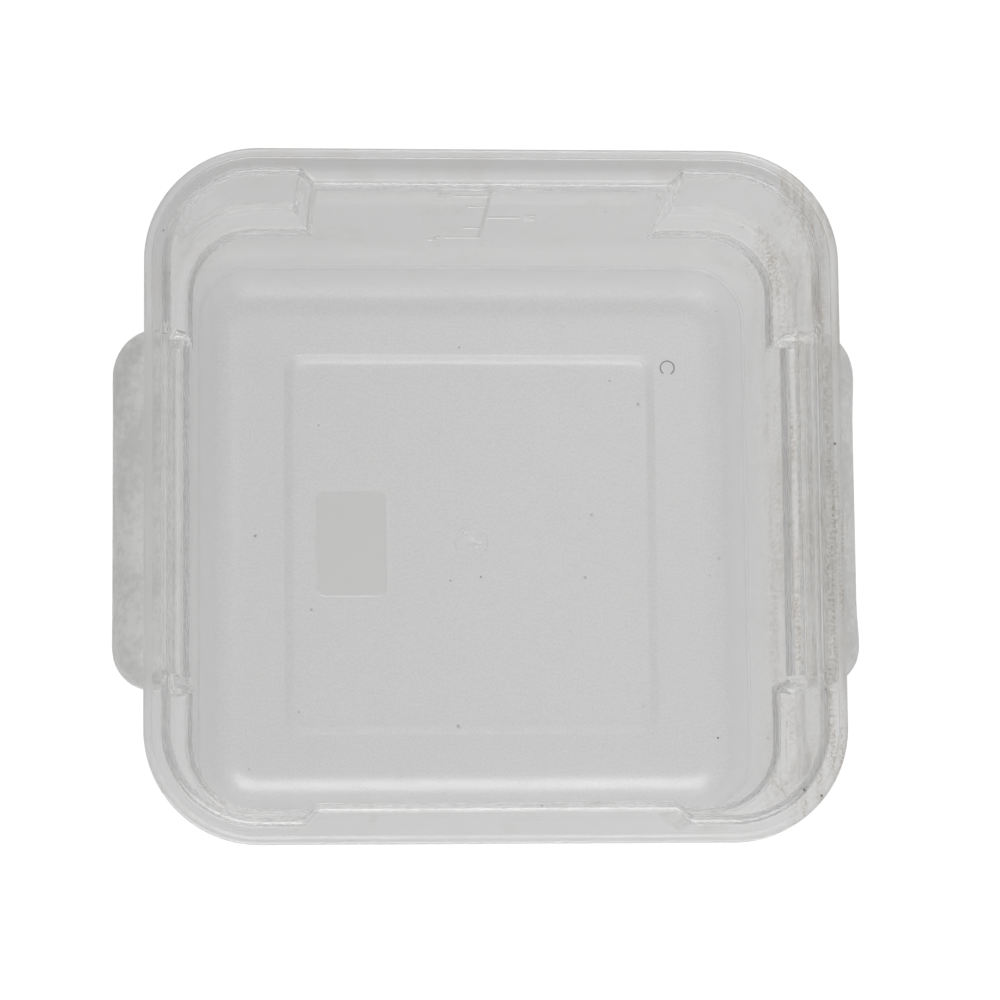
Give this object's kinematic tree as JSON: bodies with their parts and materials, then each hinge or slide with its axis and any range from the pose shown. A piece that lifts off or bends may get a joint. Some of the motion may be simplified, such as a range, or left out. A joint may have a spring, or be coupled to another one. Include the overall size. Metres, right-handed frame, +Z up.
{
  "type": "food pan",
  "caption": "Square clear plastic food storage pan with a flat lid flange, corner pockets, a stacking shoulder, hollow side grips and a volume scale.",
  "frame": {"origin": "centre of the foot, at the height of the surface that the pan stands on", "axes": "+Z up through the mouth, +X towards the right grip, +Y towards the panel with the volume scale"},
  "size_m": [0.2332, 0.213, 0.119],
  "materials": {
    "clear_plastic": "clear moulded plastic, glossy walls and a finely grained floor",
    "frosted_plastic": "the same clear plastic with a frosted surface",
    "smooth_plastic": "the same clear plastic, polished"
  },
  "bodies": {
    "root": {"base": "clear_plastic", "lower_wall": "clear_plastic", "upper_wall": "clear_plastic", "rim": "clear_plastic", "left_grip": "frosted_plastic", "right_grip": "frosted_plastic", "volume_scale": "smooth_plastic", "floor_patch": "smooth_plastic"}
  },
  "joints": []
}
